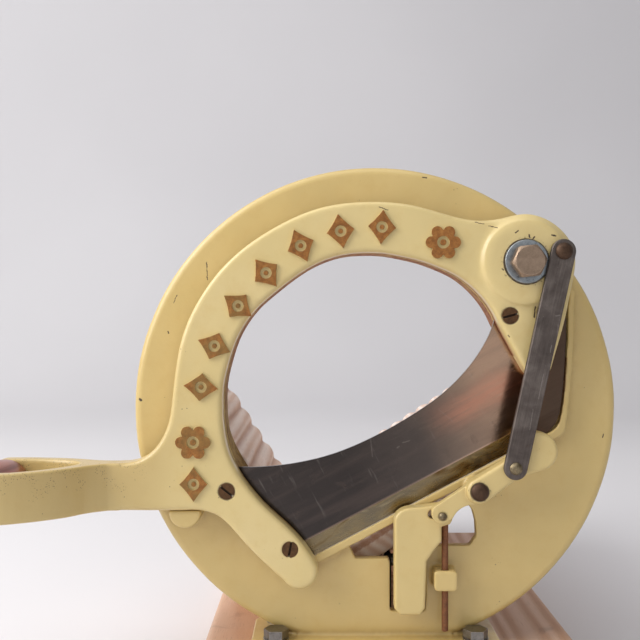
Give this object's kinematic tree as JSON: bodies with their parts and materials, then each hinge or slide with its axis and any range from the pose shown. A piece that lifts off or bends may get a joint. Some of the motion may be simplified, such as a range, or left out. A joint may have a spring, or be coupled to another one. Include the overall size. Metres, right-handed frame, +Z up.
{
  "type": "lever bread slicer",
  "caption": "Countertop lever bread slicer: round cast frame with a bread opening, pivoted bow lever with crescent blade, link and rocker feed, and fluted wooden trough on a base board.",
  "frame": {"origin": "on the underside of the base board, straight below the disc centre, in the plane of the disc's front face", "axes": "+X to the right seen from the front, +Y from the disc towards the back of the trough, +Z up"},
  "size_m": [0.387, 0.4264, 0.3153],
  "materials": {
    "enamel": "aged cream enamel on cast iron, small chips",
    "blade_steel": "polished, with long hand-ground marks and faint staining",
    "link_steel": "dull dark steel strip",
    "dark_steel": "darkened steel",
    "bright_steel": "bright steel",
    "bolt_steel": "warm grey worn steel",
    "rust_steel": "brown oxidised steel",
    "black_iron": "blackened iron",
    "relief_bronze": "copper-bronze paint, worn",
    "raw_wood": "unfinished pale pinkish wood, crumb-worn",
    "base_wood": "oiled wood",
    "grip_wood": "reddish-brown varnish"
  },
  "bodies": {
    "frame": {"frame_plate": "enamel", "pivot_sleeve": "bright_steel", "pivot_washer": "bright_steel", "pivot_bolt": "bolt_steel", "pivot_nut": "bolt_steel", "rocker_stud": "dark_steel", "rocker_nut": "bolt_steel", "crank_axle": "bright_steel", "crank_bracket": "black_iron", "bracket_screw": "dark_steel", "guide_rods": "bright_steel", "trough_floor": "raw_wood", "trough_wall": "raw_wood", "front_cradle": "raw_wood", "rear_cradle": "raw_wood", "trough_screws": "dark_steel", "base_board": "base_wood", "base_screws": "dark_steel", "foot_bolts": "bolt_steel", "foot_washers": "bright_steel"},
    "lever": {"lever_casting": "enamel", "blade": "blade_steel", "blade_screws": "dark_steel", "bow_ornaments": "relief_bronze", "link_stud": "dark_steel", "grip_bolt": "dark_steel", "grip_nut": "dark_steel"},
    "grip": {"wooden_grip": "grip_wood"},
    "link": {"link_bar": "link_steel"},
    "rocker": {"rocker_arm": "enamel", "link_rivet": "bright_steel", "drive_pin": "bright_steel"},
    "slider": {"feed_slider": "enamel", "slider_rod": "rust_steel"},
    "crank": {"bell_crank": "black_iron", "crank_pins": "bright_steel"},
    "carriage": {"feed_carriage": "black_iron", "feed_spikes": "bright_steel"}
  },
  "joints": [
    {"name": "lever_swing", "type": "hinge", "parent": "frame", "child": "lever", "pos_m": [0.0875, 0, 0.2559], "axis": [0, 1, 0], "range_deg": [0, 55]},
    {"name": "grip_spin", "type": "hinge", "parent": "lever", "child": "grip", "pos_m": [-0.224, -0.0258, 0.123], "axis": [0, 1, 0], "continuous": true},
    {"name": "link_swing", "type": "hinge", "parent": "lever", "child": "link", "pos_m": [0.108, -0.026, 0.2617], "axis": [0, 1, 0], "range_deg": [-59, 1]},
    {"name": "rocker_swing", "type": "hinge", "parent": "frame", "child": "rocker", "pos_m": [0.0597, -0.02, 0.1212], "axis": [0, 1, 0], "range_deg": [-1, 53]},
    {"name": "slider_lift", "type": "slide", "parent": "frame", "child": "slider", "axis": [0, 0, 1], "range_m": [-0.0005, 0.023]},
    {"name": "crank_swing", "type": "hinge", "parent": "frame", "child": "crank", "pos_m": [0.0256, 0.046, 0.063], "axis": [-1, 0, 0], "range_deg": [-1, 44.5]},
    {"name": "carriage_feed", "type": "slide", "parent": "frame", "child": "carriage", "axis": [0, -1, 0], "range_m": [-0.0003, 0.0122]}
  ],
  "couplings": [
    {"joint": "link_swing", "follows": "lever_swing", "ratio": -1.062},
    {"joint": "rocker_swing", "follows": "lever_swing", "ratio": 0.945},
    {"joint": "slider_lift", "follows": "lever_swing", "m_per_rad": 0.02334},
    {"joint": "crank_swing", "follows": "lever_swing", "ratio": 0.796},
    {"joint": "carriage_feed", "follows": "lever_swing", "m_per_rad": 0.01243}
  ]
}
